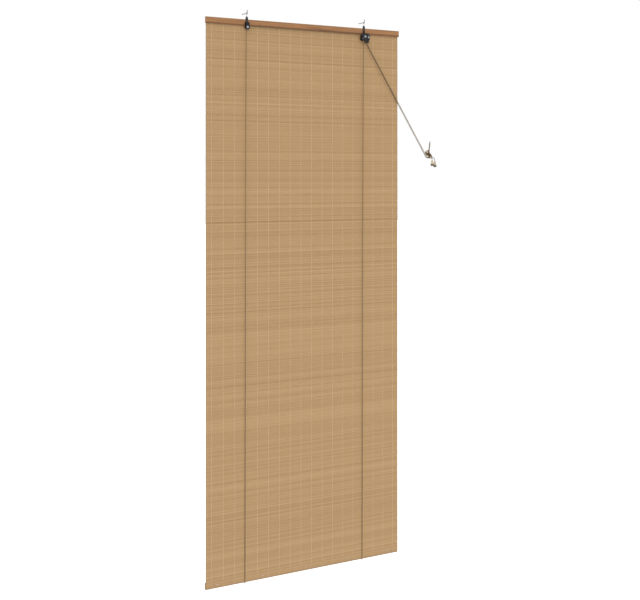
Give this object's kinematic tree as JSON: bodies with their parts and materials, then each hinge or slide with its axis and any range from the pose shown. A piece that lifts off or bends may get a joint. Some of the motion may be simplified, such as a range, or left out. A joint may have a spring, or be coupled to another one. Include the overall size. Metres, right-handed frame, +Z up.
{
  "type": "bamboo roll up blind",
  "caption": "Woven bamboo blind on a wooden headrail, hung from wall hooks, with pulley brackets, lift cords that roll it up, a wall cleat and cord tassels.",
  "frame": {"origin": "midway between the two wall hooks, at the wall's face and at the height of the hooks' arms", "axes": "+X to the right seen from the room, +Y from the room into the wall, +Z up"},
  "size_m": [1.106, 0.0531, 2.2396],
  "materials": {
    "stained_wood": "stained pine, satin",
    "bamboo": "split bamboo, matt with light streaks",
    "thread": "cotton binding thread",
    "staple_steel": "bright wire",
    "zinc": "bright zinc plate",
    "black_steel": "gloss black",
    "bronzed_steel": "dark bronzed",
    "rivet_steel": "dark nickel plate",
    "wheel_steel": "dark plated steel",
    "cord": "braided brown cord",
    "cleat_plastic": "ivory, smooth",
    "tassel_wood": "turned pale wood with a dark lower band"
  },
  "bodies": {
    "blind": {"headrail": "stained_wood", "slat_mat": "bamboo", "binding_threads": "thread", "bottom_batten": "stained_wood", "headrail_staples": "staple_steel", "batten_staples": "staple_steel", "cord_staples": "staple_steel", "left_wall_hook": "zinc", "right_wall_hook": "zinc", "left_link": "zinc", "right_link": "zinc", "left_bracket": "black_steel", "right_back_plate": "black_steel", "right_front_plate": "black_steel", "left_bracket_screw": "bronzed_steel", "right_bracket_screw": "bronzed_steel", "left_axle": "rivet_steel", "right_axle": "rivet_steel", "guide_rivet": "black_steel", "spacer_rivets": "rivet_steel", "left_lift_cord": "cord", "right_lift_cord": "cord", "left_cord_bight": "cord", "left_cord_tail": "cord", "right_cord_tail": "cord", "cord_winding": "cord", "cleat": "cleat_plastic", "cleat_screws": "zinc", "left_cord_tassel": "tassel_wood", "right_cord_tassel": "tassel_wood", "left_cord_knot": "cord", "right_cord_knot": "cord"},
    "left_wheel": {"left_wheel": "wheel_steel"},
    "right_back_wheel": {"right_back_wheel": "wheel_steel"},
    "right_front_wheel": {"right_front_wheel": "wheel_steel"},
    "lock_pin": {"lock_pin": "rivet_steel"},
    "lock_roller": {"lock_roller": "wheel_steel"}
  },
  "joints": [
    {"name": "left_wheel_spin", "type": "hinge", "parent": "blind", "child": "left_wheel", "pos_m": [-0.2745, -0.0228, -0.054], "axis": [0, 1, 0], "continuous": true},
    {"name": "right_back_wheel_spin", "type": "hinge", "parent": "blind", "child": "right_back_wheel", "pos_m": [0.2755, -0.0228, -0.058], "axis": [0, 1, 0], "continuous": true},
    {"name": "right_front_wheel_spin", "type": "hinge", "parent": "blind", "child": "right_front_wheel", "pos_m": [0.2755, -0.0278, -0.058], "axis": [0, 1, 0], "continuous": true},
    {"name": "lock_slide", "type": "slide", "parent": "blind", "child": "lock_pin", "axis": [-0.7071, 0, 0.7071], "range_m": [0, 0.004]},
    {"name": "lock_roller_spin", "type": "hinge", "parent": "lock_pin", "child": "lock_roller", "pos_m": [0.29083, -0.0253, -0.06083], "axis": [0, 1, 0], "continuous": true}
  ]
}
